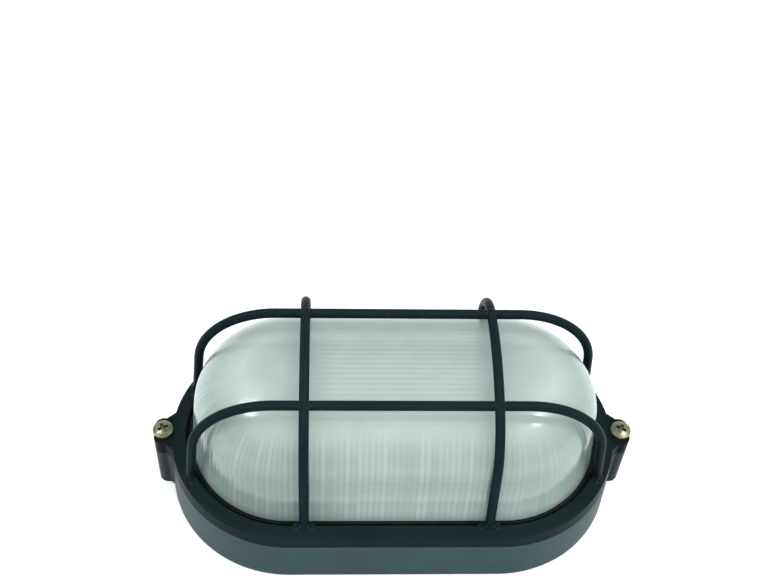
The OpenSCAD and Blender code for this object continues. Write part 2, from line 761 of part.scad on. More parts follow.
module terminal_screws() {
    color("#b9b9b2") for (s = [-1, 1], d = [-clamp_x, clamp_x])
        translate([block_x + d, block_y + s * block_pitch / 2, tube_z + tube_r + 0.3])
            pan_screw(1.2, 2.4, 2, 1.6);
}

module terminal_block_screw() {
    color("#b9b9b2") translate([block_x, block_y, block_z + 6]) pan_screw(small_r, 7, 2.7, 2);
}

module earth_screw() {
    color("#b9a75c") translate([earth.x, earth.y, floor_t + earth_pad_h + 1.2])
        pan_screw(earth_r, 3.6, 4, 2.6);
}

// A cupped washer that keeps the earth wire under the screw's head
module earth_washer() {
    color("#c2a24e") translate([earth.x, earth.y, floor_t + earth_pad_h]) difference() {
        union() {
            cylinder(r = 5, h = 1.2);
            for (s = [-1, 1]) translate([s * 4.6 - 0.6, -2.5, 0]) cube([1.2, 5, 3]);
        }
        translate([0, 0, -1]) cylinder(r = earth_r + 0.2, h = 4);
    }
}

// A tube of wire_sides sides swept along a route
module wire(route) {
    p = smooth_route(route, wire_steps);
    n = len(p);
    dirs = [for (i = [0 : n - 1]) unit(p[min(i + 1, n - 1)] - p[max(i - 1, 0)])];
    rings = [for (i = [0 : n - 1])
        let (side = unit(cross(dirs[i], [0.21, 0.13, 0.97])), up = cross(side, dirs[i]))
        [for (k = [0 : wire_sides - 1])
            p[i] + wire_r * (cos(k * 360 / wire_sides) * side + sin(k * 360 / wire_sides) * up)]];
    polyhedron(
        [for (ring = rings) each ring],
        concat(
            [[for (k = [wire_sides - 1 : -1 : 0]) k]],
            [for (i = [0 : n - 2], k = [0 : wire_sides - 1])
                let (a = i * wire_sides, b = (k + 1) % wire_sides)
                each [[a + k, a + b, a + k + wire_sides], [a + b, a + b + wire_sides, a + k + wire_sides]]],
            [[for (k = [0 : wire_sides - 1]) (n - 1) * wire_sides + k]]
        )
    );
}

module live_wire() {
    color("#6b4a33") wire(live_route);
}

module neutral_wire() {
    color("#35506e") wire(neutral_route);
}

// The rubber ring in the back entry: a waist in the hole, a collar inside and a thin web round the cable
module cable_grommet() {
    color("#1a1c1c") translate([entry.x, entry.y, 0]) difference() {
        union() {
            cylinder(r = entry_r - fit, h = floor_t + 0.5);
            translate([0, 0, floor_t]) cylinder(r = entry_r + 2, h = 1.8);
            translate([0, 0, floor_t + 1.7]) cylinder(r1 = entry_r + 1.4, r2 = cable_r + 1.2, h = 2.5);
        }
        translate([0, 0, -1]) cylinder(r = cable_r, h = floor_t + 8);
    }
}

module fixing_grommets() {
    color("#1a1c1c") for (side = [-1, 1])
        translate([side * fix_x, 0, floor_t + pad_h]) difference() {
            cylinder(r1 = pad_r - 0.2, r2 = pad_r - 1, h = 2);
            translate([0, 0, -1]) cylinder(r = fix_r, h = 4);
        }
}

// The lamp: cap with its contact, a neck that widens in a cone tangent to the globe, and the globe
module lamp() {
    neck_r = 14.5;
    neck_x = holder_mouth - 2 - cap_tip;
    globe_at = lamp_l - globe_r;
    color("#f2efe6") on_lamp_axis(cap_tip) rotate_extrude() {
        square([3.5, 3]);
        polygon([[0, 2], [6, 2.5], [cap_r - 1, 5], [0, 5]]);
        translate([0, 4.5]) square([cap_r, neck_x - 5.5]);
        polygon([[0, neck_x - 3], [cap_r, neck_x - 1.2], [neck_r, neck_x], [0, neck_x]]);
        polygon([
            [0, neck_x - 1], [neck_r, neck_x],
            lamp_touch(neck_r, globe_at - neck_x) + [0, neck_x], [0, globe_at]
        ]);
        intersection() {
            translate([0, globe_at]) circle(globe_r);
            translate([0, neck_x]) square([globe_r + 1, lamp_l]);
        }
    }
}

// Where a line from [neck, 0] touches a circle of the globe's radius centred at [0, up]
function lamp_touch(neck, up) =
    let (
        d = norm([neck, up]),
        to_neck = atan2(-up, neck),
        half = acos(globe_r / d)
    )
    [0, up] + globe_r * [cos(to_neck + half), sin(to_neck + half)];

base();
guard();
lens();
lens_gasket();
cover_screw_left();
cover_screw_right();
lampholder_body();
lampholder_shell();
lampholder_contact();
lampholder_terminals();
lampholder_terminal_screws();
lampholder_bracket();
holder_screws();
bracket_screws();
terminal_block();
terminal_tubes();
terminal_screws();
terminal_block_screw();
earth_screw();
earth_washer();
live_wire();
neutral_wire();
cable_grommet();
fixing_grommets();
lamp();
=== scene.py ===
# %% [markdown]
# # Oval bulkhead light with a cast guard
#
# A bulkhead light is a lamp for walls and ceilings out of doors: a cast bowl, a pressed glass over it,
# and a cage that keeps knocks off the glass. Two screws through the ears of the cage hold all of it
# together, and a rubber ring under the foot of the glass keeps the rain out.
#
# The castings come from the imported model, because their shape there is exact, and they only get their
# paint here. The pieces with fine work on them, such as the fluted glass, the cover screws and the
# lamp's thread, are computed as surfaces with numpy and stand in for the plainer solids.

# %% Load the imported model
from math import atan2, cos, pi, radians, sin, sqrt, tan

import bpy
import bmesh
import numpy as np
from mathutils import Matrix, Vector


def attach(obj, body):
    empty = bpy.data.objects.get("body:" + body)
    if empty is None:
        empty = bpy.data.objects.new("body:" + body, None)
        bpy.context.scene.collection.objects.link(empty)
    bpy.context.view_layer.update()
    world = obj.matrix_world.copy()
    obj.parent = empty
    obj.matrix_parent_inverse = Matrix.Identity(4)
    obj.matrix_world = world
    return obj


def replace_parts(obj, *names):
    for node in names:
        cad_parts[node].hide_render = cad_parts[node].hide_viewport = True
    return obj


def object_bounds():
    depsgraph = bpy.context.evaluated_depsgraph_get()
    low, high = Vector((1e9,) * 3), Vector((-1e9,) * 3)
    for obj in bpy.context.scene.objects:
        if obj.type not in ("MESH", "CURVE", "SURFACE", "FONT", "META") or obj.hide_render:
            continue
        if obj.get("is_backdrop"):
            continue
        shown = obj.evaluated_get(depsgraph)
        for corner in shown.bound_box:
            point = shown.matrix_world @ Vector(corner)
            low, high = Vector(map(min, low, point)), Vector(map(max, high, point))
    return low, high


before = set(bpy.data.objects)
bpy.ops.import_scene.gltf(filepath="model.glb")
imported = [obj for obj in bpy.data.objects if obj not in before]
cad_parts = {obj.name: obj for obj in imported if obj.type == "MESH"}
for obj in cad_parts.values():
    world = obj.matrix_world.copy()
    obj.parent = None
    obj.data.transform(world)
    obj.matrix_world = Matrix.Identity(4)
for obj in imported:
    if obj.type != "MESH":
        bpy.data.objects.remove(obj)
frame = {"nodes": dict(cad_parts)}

MM = 0.001
cad_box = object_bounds()
nodes = frame["nodes"]
print("nodes:", len(nodes), " box:", [tuple(round(v, 4) for v in corner) for corner in cad_box])

# %% [markdown]
# ## The camera
#
# The light lies on its back on the floor and is seen from the front, high up: about 58 degrees above
# the horizon, 0.6 m away, turned a few degrees. The camera looks a little past the middle, so that the
# light sits low in the picture, and it is rolled by 4 degrees, because the light lies slightly
# askew in the frame. The alternative is a camera that points straight at the middle with a shifted
# sensor, but a shift stays behind when other views move the camera.

# %% Camera
TURN, RISE, NOD, ROLL = radians(-4.91), radians(57.99), radians(6.191), radians(4.282)
DISTANCE, SIDESTEP, RING_TOP = 600 * MM, -6.612 * MM, 33.9 * MM
FOCAL_PX, PICTURE_W, SENSOR_W = 1283.462, 780, 36.0

def from_sky(turn, rise):
    """Unit vector that points from the object towards an observer at that turn and rise."""
    return Vector((sin(turn) * cos(rise), -cos(turn) * cos(rise), sin(rise)))

def aim(eye, look, roll):
    """Camera matrix: -Z along the look, X level and then rolled, Y completing the right-handed set."""
    right = look.cross(Vector((0, 0, 1))).normalized()
    up = right.cross(look)
    x_axis = right * cos(roll) + up * sin(roll)
    y_axis = up * cos(roll) - right * sin(roll)
    turned = Matrix((x_axis, y_axis, -look)).transposed().to_4x4()
    turned.translation = eye
    return turned

optics = bpy.data.cameras.new("camera")
optics.sensor_width = SENSOR_W
optics.lens = SENSOR_W * FOCAL_PX / PICTURE_W
camera = bpy.data.objects.new("camera", optics)
bpy.context.scene.collection.objects.link(camera)
eye = from_sky(TURN, RISE) * DISTANCE + Vector((SIDESTEP, 0, RING_TOP))
camera.matrix_world = aim(eye, -from_sky(TURN, RISE - NOD), ROLL)
bpy.context.scene.camera = camera
# Standard shows white as white and a paint chart's colour as that colour; the others are made for film
bpy.context.scene.view_settings.view_transform = "Standard"
print("camera at", [round(v, 3) for v in eye], "lens", round(optics.lens, 2), "mm")

# %% [markdown]
# ## Small tools for materials
#
# Colours are written as hex values, as a paint chart or a picture editor gives them. Those are sRGB,
# while Blender's shaders add up light, so one function turns them to linear. A node's inputs are set
# or linked by one more function, and a third adds a node. That keeps every finish below to a few lines.

# %% Colours
def linear(hex_colour):
    """sRGB to linear light: c / 12.92 for the darkest tones, ((c + 0.055) / 1.055) ** 2.4 for the rest."""
    channels = [int(hex_colour[i:i + 2], 16) / 255 for i in (1, 3, 5)]
    return tuple(c / 12.92 if c <= 0.04045 else ((c + 0.055) / 1.055) ** 2.4 for c in channels) + (1.0,)

print("mid grey #808080 gives off", round(linear("#808080")[0], 3), "of the light of white")

# %% Nodes
def feed(tree, node, **inputs):
    """Sets a node's inputs to values, or links them to other nodes' outputs. A name has _ for each space,
    or is i and the input's number."""
    for key, value in inputs.items():
        name = int(key[1:]) if key[0] == "i" and key[1:].isdigit() else key.replace("_", " ")
        socket = node.inputs[name]
        if isinstance(value, bpy.types.NodeSocket):
            tree.links.new(value, socket)
        else:
            socket.default_value = value

def add(tree, kind, settings=None, **inputs):
    """Adds a node and feeds it. The settings are its properties, and for a ramp also its stops, each a
    position and a colour."""
    node = tree.nodes.new("ShaderNode" + kind)
    settings = dict(settings or {})
    for number, (at, colour) in enumerate(settings.pop("stops", ())):
        # A new ramp comes with two stops
        stop = node.color_ramp.elements[number] if number < 2 else node.color_ramp.elements.new(at)
        stop.position = at
        stop.color = linear(colour)
    for key, value in settings.items():
        setattr(node, key, value)
    feed(tree, node, **inputs)
    return node

def per_mm(size):
    """Noise scale that makes features about this many millimetres wide in a model that is in metres."""
    return 1.0 / (size * MM)

print("noise with features of 2 mm has scale", round(per_mm(2)))

# %% Finishes
def finish_named(name):
    """A new material with its shader tree, its Principled node and its Object coordinates."""
    material = bpy.data.materials.new(name)
    material.use_nodes = True
    tree = material.node_tree
    shader = tree.nodes["Principled BSDF"]
    place = add(tree, "TexCoord").outputs["Object"]
    return material, tree, shader, place

def wear(material, *names):
    """Gives CAD nodes their finish."""
    for name in names:
        mesh = nodes[name].data
        mesh.materials.clear()
        mesh.materials.append(material)
    print(material.name, "on", ", ".join(names))

print("CAD nodes by name:", ", ".join(nodes))

# %% [markdown]
# ## Floor
#
# The light was shot like a catalogue piece, on a white sheet that glows a little, as on a back-lit
# table. The glow is what keeps the sheet white right up to the light's edge, where a sheet that is only
# lit from above would turn grey.

# %% Floor
def plain_sheet(name, half, z):
    """A square sheet: its four corners are at plus and minus half."""
    corners = [(-half, -half, z), (half, -half, z), (half, half, z), (-half, half, z)]
    mesh = bpy.data.meshes.new(name)
    mesh.from_pydata(corners, [], [(0, 1, 2, 3)])
    sheet = bpy.data.objects.new(name, mesh)
    bpy.context.scene.collection.objects.link(sheet)
    return sheet

# It lies a hair below the light's back, so that the two faces don't fight for the same place
floor = plain_sheet("floor", half=4.0, z=-0.2 * MM)
# Matt opal paper over lamps has no gloss and hardly any colour; a faint cloudiness keeps it from looking
# like fog
paper, tree, shader, place = finish_named("back_lit_opal_paper")
cloud = add(tree, "TexNoise", Vector=place, Scale=per_mm(300)).outputs["Fac"]
white = add(tree, "ValToRGB", {"stops": [(0.3, "#f4f5f5"), (0.7, "#f8f9f9")]}, Fac=cloud).outputs["Color"]
feed(tree, shader, Base_Color=white, Roughness=0.9, Emission_Color=linear("#ffffff"), Emission_Strength=0.3)
floor.data.materials.append(paper)
floor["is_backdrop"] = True
print("floor:", [round(side, 1) for side in floor.dimensions[:2]], "m")

# %% [markdown]
# ## Light
#
# Everything round the light is white and no shadow is hard, so big soft boxes stand above it, near the
# camera and low at both sides. The low ones make the paler bands at the rounded corners of the bowl. A
# gloss surface mirrors what stands round it, and a big box would lie in the glass as a hard bright
# rectangle. So the big boxes only light, and two small ones, the glints, are only seen mirrored: they
# make the two soft highlights on the shoulders of the glass. The air behind all of it is a pale
# blue-grey that turns whiter towards the horizon, where it meets the sheet.

# %% Soft boxes
LIGHT_MIDDLE = Vector((0, 0, 40 * MM))

def soft_box(name, at, size, watts, glint=False):
    """A square area light that faces the object. A glint is only seen mirrored in gloss, and the others
    only light."""
    lamp = bpy.data.lights.new(name, "AREA")
    lamp.shape = "SQUARE"
    lamp.size = size
    lamp.energy = watts
    box = bpy.data.objects.new(name, lamp)
    bpy.context.scene.collection.objects.link(box)
    look = (LIGHT_MIDDLE - Vector(at)).normalized()
    box.matrix_world = aim(Vector(at), look, 0.0)
    box.visible_glossy = glint
    box.visible_diffuse = not glint
    print(f"{name}: {watts} W from {size} m")

soft_box("left_glint", (-0.61, 0.08, 1.08), size=0.24, watts=2.6, glint=True)
soft_box("right_glint", (0.566, -0.09, 1.02), size=0.13, watts=4.0, glint=True)
soft_box("top_box", (-0.1, -0.35, 1.45), size=2.0, watts=17)
soft_box("key_box", (0.5, -0.6, 1.15), size=1.5, watts=6)
soft_box("left_box", (-1.3, -0.55, 0.4), size=0.8, watts=5)
soft_box("right_box", (1.2, -0.75, 0.4), size=0.8, watts=4)

# %% Air of the studio
world = bpy.data.worlds.new("studio_air")
world.use_nodes = True
air = world.node_tree
upward = add(air, "SeparateXYZ", Vector=add(air, "TexCoord").outputs["Generated"]).outputs["Z"]
haze = add(air, "ValToRGB", {"stops": [(0.0, "#e6ecec"), (0.35, "#b9c5c7")]}, Fac=upward).outputs["Color"]
feed(air, air.nodes["Background"], Color=haze)
bpy.context.scene.world = world
print("air:", world.name)

# %% [markdown]
# ## Paint on the castings
#
# Both castings are aluminium, sprayed and stoved. Stoved enamel is a dielectric film with an index of
# refraction of about 1.5, so it isn't metallic at all, however dark it looks. What makes it paint and
# not plastic is its surface: the orange-peel of the spray, a millimetre or two wide and only microns
# deep, over the slower waves of the cast skin. On sharp edges the film is thin and wears, and the colour
# there is mixed paler, which is also a painted edge highlight. The bevel node gives both the soft edge
# and the mask for the pale edges, and spares a rounded edge in the mesh of every casting. Faces that look
# up are painted a trace paler as painted top light, and the two screw bosses are painted darker as painted
# shade. The castings hardly mirror the white sheet, so the film is a dull one, with a low specular level.

# %% Stoved enamel
BOSS_FROM, BOSS_TO = 98 * MM, 104 * MM

def stoved_enamel(name, dark, pale, edge_wear_and_glint_colour, rough, peel, shine):
    """Sprayed and stoved paint; peel is the depth of its orange-peel in millimetres."""
    material, tree, shader, place = finish_named(name)
    soft_edge = add(tree, "Bevel", {"samples": 6}, Radius=0.45 * MM).outputs["Normal"]
    slow = add(tree, "TexNoise", Vector=place, Scale=per_mm(28), Detail=3.0).outputs["Fac"]
    grain = add(tree, "TexNoise", Vector=place, Scale=per_mm(1.7), Detail=2.0).outputs["Fac"]
    body = add(tree, "ValToRGB", {"stops": [(0.35, dark), (0.68, pale)]}, Fac=slow).outputs["Color"]
    # How far the true normal turns away from the soft one says how near a sharp edge is
    normal = add(tree, "NewGeometry").outputs["Normal"]
    agree = add(tree, "VectorMath", {"operation": "DOT_PRODUCT"}, i0=soft_edge, i1=normal).outputs["Value"]
    # Sharp edges are mixed paler: wear of the thin film there, and a painted edge highlight
    edge_wear_and_glint = add(tree, "MapRange", Value=agree, i1=0.995, i2=0.9, i3=0.0, i4=1.2).outputs["Result"]
    broken_edge_wear_and_glint = add(tree, "Math", {"operation": "MULTIPLY"}, i0=edge_wear_and_glint, i1=grain).outputs["Value"]
    body_with_edge_wear_and_glint = add(tree, "Mix", {"data_type": "RGBA"}, Factor=broken_edge_wear_and_glint, i6=body, i7=linear(edge_wear_and_glint_colour)).outputs[2]
    # Painted shade: towards the two screw bosses the colour is darkened to 0.3 of itself
    along = add(tree, "SeparateXYZ", Vector=place).outputs["X"]
    outward = add(tree, "Math", {"operation": "ABSOLUTE"}, i0=along).outputs["Value"]
    boss_shade = add(tree, "MapRange", Value=outward, i1=BOSS_FROM, i2=BOSS_TO, i3=1.0, i4=0.3).outputs["Result"]
    shaded = add(tree, "VectorMath", {"operation": "SCALE"}, i0=body_with_edge_wear_and_glint, Scale=boss_shade).outputs["Vector"]
    # Painted top light: faces that look up are mixed a trace paler
    facing = add(tree, "SeparateXYZ", Vector=normal).outputs["Z"]
    top_light_mask = add(tree, "MapRange", Value=facing, i1=0.2, i2=0.95, i3=0.0, i4=0.05).outputs["Result"]
    painted_top_light = add(tree, "Mix", {"data_type": "RGBA"}, Factor=top_light_mask, i6=shaded, i7=linear("#62736e"))
    dull = add(tree, "MapRange", Value=slow, i1=0.3, i2=0.7, i3=rough - 0.04, i4=rough + 0.05)
    waves = add(tree, "Bump", Height=slow, Normal=soft_edge, Strength=1.0, Distance=0.05 * MM)
    skin = add(tree, "Bump", Height=grain, Normal=waves.outputs["Normal"], Strength=1.0, Distance=peel * MM)
    feed(tree, shader, Base_Color=painted_top_light.outputs[2], Roughness=dull.outputs["Result"],
         Normal=skin.outputs["Normal"], IOR=1.5, Specular_IOR_Level=shine, Specular_Tint=linear("#d9f2f5"))
    return material

wear(stoved_enamel("grey_green_stoved_enamel", dark="#1e3639", pale="#244042", edge_wear_and_glint_colour="#546b6e",
                   rough=0.4, peel=0.012, shine=0.09), "base")
wear(stoved_enamel("black_green_stoved_enamel", dark="#0d191d", pale="#111e22", edge_wear_and_glint_colour="#3f5558",
                   rough=0.34, peel=0.012, shine=0.02), "guard")

# %% [markdown]
# ## Surfaces on grids
#
# A grid of points with rows and columns can be any surface that has two directions, such as round and
# along. numpy works out all points at once, and the faces follow from the numbering alone. Where a row
# shrinks to one point, as at a pole, its doubles are merged, so that the surface is closed and its
# normals can be made to point outwards.
#
# Fine relief needs many columns, but only where it is. So a piece is a stack of zones, each with a
# column count of its own, and where two zones meet, one wide face spans several fine ones. A Subdivision
# Surface would do it too, but it would refine the plain parts as well.

# %% Faces between rings
def band(lower, upper):
    """Faces between two rings of point numbers. With equal counts they are quads; where one ring is finer
    by a whole factor, each coarse step takes all its fine points into one face."""
    if len(lower) == len(upper):
        return np.stack([lower, np.roll(lower, -1), np.roll(upper, -1), upper], 1).tolist()
    if len(lower) > len(upper):
        return [face[::-1] for face in band(upper, lower)]
    factor = len(upper) // len(lower)
    fine = np.concatenate([upper, upper[:1]])
    spans = fine[np.arange(0, len(upper), factor)[:, None] + np.arange(factor, -1, -1)[None, :]]
    return np.concatenate([np.stack([lower, np.roll(lower, -1)], 1), spans], 1).tolist()

print("a face over one coarse and two fine steps:", band(np.arange(4), np.arange(4, 12))[0])

# %% Closed pieces
def piece_from_zones(name, zones, body, materials, marks=None, relief=None):
    """A closed piece from a stack of zones[row, column, xyz] in millimetres, each wrapped round its columns.

    marks gives every zone's material number; relief gives a number for every point, kept as an attribute."""
    faces, finish, start, last = [], [], 0, None
    for number, zone in enumerate(zones):
        rows, columns = zone.shape[:2]
        rings = start + np.arange(rows * columns).reshape(rows, columns)
        stack = ([last] if last is not None else []) + list(rings)
        for lower, upper in zip(stack[:-1], stack[1:]):
            new = band(lower, upper)
            faces += new
            finish += [marks[number] if marks else 0] * len(new)
        last, start = rings[-1], start + rows * columns
    points = np.concatenate([zone.reshape(-1, 3) for zone in zones]) * MM
    mesh = bpy.data.meshes.new(name)
    mesh.from_pydata(points.tolist(), [], faces)
    for material in materials:
        mesh.materials.append(material)
    mesh.polygons.foreach_set("material_index", finish)
    if relief is not None:
        stored = mesh.attributes.new("relief", "FLOAT", "POINT")
        stored.data.foreach_set("value", np.concatenate([r.ravel() for r in relief]).astype(np.float32))
    return finished(name, mesh, body)

def finished(name, mesh, body, crease=35):
    """Merges doubles, turns the faces outwards, shades smooth up to the crease angle and seats the piece."""
    shape = bmesh.new()
    shape.from_mesh(mesh)
    bmesh.ops.remove_doubles(shape, verts=shape.verts, dist=1e-7)
    bmesh.ops.recalc_face_normals(shape, faces=shape.faces)
    open_edges = sum(not edge.is_manifold for edge in shape.edges)
    shape.to_mesh(mesh)
    shape.free()
    mesh.shade_smooth()
    mesh.set_sharp_from_angle(angle=radians(crease))
    piece = bpy.data.objects.new(name, mesh)
    bpy.context.scene.collection.objects.link(piece)
    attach(piece, body)
    triangles = sum(len(face.vertices) - 2 for face in mesh.polygons)
    print(f"{name}: {triangles} triangles, {open_edges} open edges")
    return piece

# %% [markdown]
# ## The glass
#
# The glass is soda-lime glass, pressed in a mould while it glows. Its section is a foot flange, a wall
# that leans in by 5 degrees so that it leaves the mould, a round shoulder and a shallow crown, each arc
# tangent to the next. That section is carried along an oval track: two straights and two half circles.
# A revolve can't do the straights and an extrusion can't do the ends, but one formula does both: a
# point is the track's own centre line plus the section's radius times the track's outward direction.

# %% Section of the glass
END_X = 47.5
GLASS_R, GLASS_H, DRAFT, SHOULDER_R, CROWN_R = 45.2, 51.7, radians(5.1), 25.2, 75.3
GLASS_T, FLANGE_R, FLANGE_LOW, FLANGE_TOP, RIM_Z = 3.6, 52.0, 27.1, 30.5, 33.9

def shoulder_centre():
    """Where the shoulder arc is tangent to the leaning wall and to the crown: a quadratic in the rise."""
    px = GLASS_R - SHOULDER_R * cos(DRAFT)
    pz = -SHOULDER_R * sin(DRAFT) - (GLASS_H - CROWN_R)
    b = -px * sin(DRAFT) + pz * cos(DRAFT)
    rise = -b + sqrt(b * b - px * px - pz * pz + (CROWN_R - SHOULDER_R) ** 2)
    return px - rise * sin(DRAFT), pz + rise * cos(DRAFT) + GLASS_H - CROWN_R

SHOULDER_X, SHOULDER_Z = shoulder_centre()
TURN_OVER = atan2(SHOULDER_Z - GLASS_H + CROWN_R, SHOULDER_X)

def wall_and_shoulder(depth, low, wall_rows, arc_rows):
    """(radius, height, outward angle) up the leaning wall and round the shoulder. The depth is how far
    under the outer face it lies."""
    r = SHOULDER_R - depth
    top_x, top_z = SHOULDER_X + r * cos(DRAFT), SHOULDER_Z + r * sin(DRAFT) + RIM_Z
    z = np.linspace(low, top_z, wall_rows, endpoint=False)
    wall = np.stack([top_x + (top_z - z) * tan(DRAFT), z, np.full(wall_rows, DRAFT)], 1)
    a = np.linspace(DRAFT, TURN_OVER, arc_rows)
    arc = np.stack([SHOULDER_X + r * np.cos(a), SHOULDER_Z + r * np.sin(a) + RIM_Z, a], 1)
    return np.concatenate([wall, arc])

def crown(depth, rows):
    """(radius, height, outward angle) over the crown, from just past the shoulder to the ridge line."""
    a = np.linspace(TURN_OVER, pi / 2, rows + 1)[1:]
    r = CROWN_R - depth
    section = np.stack([r * np.cos(a), GLASS_H - CROWN_R + r * np.sin(a) + RIM_Z, a], 1)
    section[-1, 0] = 0.0
    return section

print("shoulder centre", round(SHOULDER_X, 2), round(SHOULDER_Z, 2),
      "turns over at", round(TURN_OVER * 180 / pi, 1))

# %% Oval track
def oval_track(per_end, per_side):
    """Centre-line x and outward angle of every column, once round the oval, from the front right corner."""
    end = np.linspace(-pi / 2, pi / 2, per_end, endpoint=False)
    side = END_X * (1 - 2 * np.linspace(0, 1, per_side, endpoint=False))
    x = np.concatenate([np.full(per_end, END_X), side, np.full(per_end, -END_X), -side])
    angle = np.concatenate([end, np.full(per_side, pi / 2), end + pi, np.full(per_side, 1.5 * pi)])
    return x, angle

def carried(section, track, push=0.0):
    """Carries a section round the track, with push millimetres added along its outward direction:
    x = centre + r cos(angle), y = r sin(angle), z = height."""
    x, angle = track
    r = section[:, :1] + push * np.cos(section[:, 2:])
    z = section[:, 1:2] + push * np.sin(section[:, 2:]) + 0 * x
    return np.stack([x + r * np.cos(angle), r * np.sin(angle), z], -1)

print("once round the foot:", round(2 * pi * FLANGE_R + 4 * END_X), "mm")

# %% [markdown]
# ## Flutes and ribs
#
# The mould is cut with fine flutes that run up the wall and die away in the shoulder, and with
# lengthwise ribs across the crown between the hoops. A flute is 2.6 mm wide here, 36 of them on each
# straight and 52 round each end. That is too fine: on the real glass they are about 5.3 mm apart, and the
# ribs of the crown are also at least twice as wide as here. Each is a low round ridge with a sharp valley,
# which is the shape of the absolute value of a sine. They are in the mesh and not in a bump map, so
# they also show on an outline and in a printed part. As the mould is dressed by hand, no two are
# quite alike, so each gets a strength of its own from a seeded generator.

# %% Strength of each flute
FLUTES_END, FLUTES_SIDE = 52, 36
dressing = np.random.default_rng(7)
strength = dressing.uniform(0.15, 1.0, 2 * (FLUTES_END + FLUTES_SIDE))
# The right end of the mould and the rear half of its left end are polished smoother by wear
rear_left = FLUTES_END + FLUTES_SIDE
strength[:FLUTES_END] *= 0.55
strength[rear_left:rear_left + FLUTES_END // 2] *= 0.4
print("flutes:", len(strength), " weakest", round(strength.min(), 2), " strongest", round(strength.max(), 2))

# %% Waves
def smooth_step(value, low, high):
    """0 below low, 1 above high and 3t^2 - 2t^3 between."""
    t = np.clip((value - low) / (high - low), 0, 1)
    return t * t * (3 - 2 * t)

def flute_wave(samples, section, low, high, fade=10):
    """|sin| once per flute round the track, faded in above low and out below high, and the fading itself."""
    k = np.arange(samples * len(strength))
    wave = np.abs(np.sin(pi * (k % samples) / samples)) * strength[k // samples]
    z = section[:, 1:2]
    faded = smooth_step(z, low, low + 1.5) * (1 - smooth_step(z, high - fade, high))
    return wave[None, :] * faded, faded + 0 * wave[None, :]

def track_of(samples):
    """The oval track with this many columns to a flute."""
    return oval_track(FLUTES_END * samples, FLUTES_SIDE * samples)

print("half way through its fade, a flute has", float(smooth_step(0.75, 0, 1.5)), "of its height")

# %% Wall of the glass
# Columns to a flute: outside, inside, and where there is no relief
FINE, MEDIUM, PLAIN = 8, 4, 1
FLUTE_DEPTH, FLUTES_HIGH, INSIDE_DEPTH, INSIDE_HIGH = 0.16, 82, 0.5, 74
wall = wall_and_shoulder(0, FLANGE_TOP + 0.9, wall_rows=9, arc_rows=18)
flutes, flutes_fade = flute_wave(FINE, wall, FLANGE_TOP + 1, FLUTES_HIGH)
outer_wall = carried(wall, track_of(FINE), flutes * FLUTE_DEPTH)
inside = wall_and_shoulder(GLASS_T, FLANGE_LOW + 0.4, wall_rows=5, arc_rows=11)[::-1]
inside_flutes, _ = flute_wave(MEDIUM, inside, FLANGE_LOW + 1, INSIDE_HIGH)
inner_wall = carried(inside, track_of(MEDIUM), -inside_flutes * INSIDE_DEPTH)
print("wall of the glass:", outer_wall.shape[:2], "points outside,", inner_wall.shape[:2], "inside")

# %% Crown of the glass
RIB_PITCH, RIB_DEPTH, RIBS_FULL, RIBS_END = 2.6, 0.12, 35.2, 37
top = crown(0, rows=92)
column_x, column_angle = track_of(PLAIN)
across = top[:, :1] * np.abs(np.sin(column_angle))
# The ribs end short of the hoops, and grow in where the shoulder turns into the crown
ribs_fade = 1 - smooth_step(np.abs(column_x + 0 * across), RIBS_FULL, RIBS_END)
ribs_fade = ribs_fade * smooth_step(top[:, 1:2], top[0, 1] - 1, top[0, 1] + 3)
ribs = np.abs(np.sin(pi * across / RIB_PITCH)) * ribs_fade
outer_crown = carried(top, track_of(PLAIN), ribs * RIB_DEPTH)
inner_crown = carried(crown(GLASS_T, rows=12)[::-1], track_of(PLAIN))
print("crown ribs across:", int(2 * top[0, 0] / RIB_PITCH))

# %% [markdown]
# ## Foot of the glass
#
# The foot is the flange that the rubber ring clasps. A pressed edge is never sharp, so its two outer
# corners are rounded by half a millimetre. Three points to a corner are enough at that size, and they
# spare a Bevel modifier, which would also catch the valleys of the flutes.

# %% Foot of the glass
# On a round of radius 1, the middle point lies 1 - sqrt(1/2) in from each side of the corner
CORNER_R, ROUND_MIDDLE = 0.5, 0.293

def rounded(corners, radius):
    """Each right-angled corner of an outline becomes three points: before it, on its round and after it."""
    c = np.asarray(corners, float)
    back = np.roll(c, 1, 0) - c
    ahead = np.roll(c, -1, 0) - c
    back /= np.linalg.norm(back, axis=1)[:, None]
    ahead /= np.linalg.norm(ahead, axis=1)[:, None]
    middle = c + ROUND_MIDDLE * radius * (back + ahead)
    return np.stack([c + radius * back, middle, c + radius * ahead], 1).reshape(-1, 2)

foot_in = inside[-1, 0]
foot_out = wall[0, 0]
flange = [(foot_in - 0.1, FLANGE_LOW), (FLANGE_R, FLANGE_LOW), (FLANGE_R, FLANGE_TOP),
          (foot_out + 0.05, FLANGE_TOP)]
outer_corners = rounded(flange, CORNER_R)[3:9]
foot = np.concatenate([[(foot_in + 0.3, FLANGE_LOW)], outer_corners, [(foot_out + 0.9, FLANGE_TOP)],
                       [(foot_out + 0.25, FLANGE_TOP + 0.25)]])
foot_skin = carried(np.column_stack([foot, np.zeros(len(foot))]), track_of(PLAIN))
print("foot:", len(foot), "points in its outline")

# %% [markdown]
# ## Pressed glass as a finish
#
# Light enters such a glass, bounces between the flutes inside and comes back milky, with the green tinge
# of iron in the sand. A true glass shader would need a very long render to show that, and would show
# the lamp, which the real flutes hide. This finish gives the milky body a colour, lets a little light
# through, and puts the smooth outer face over it as a clear coat. The relief attribute makes the
# valleys between the flutes greener and darker, and a soft shade lies where the holder stands behind.

# %% Pressed glass
SHADE_AT = (-56 * MM, -36 * MM, 40 * MM)
pressed_glass, tree, shader, place = finish_named("pressed_soda_lime_glass")
height = add(tree, "SeparateXYZ", Vector=place).outputs["Z"]
raised = add(tree, "Attribute", {"attribute_name": "relief"}).outputs["Fac"]
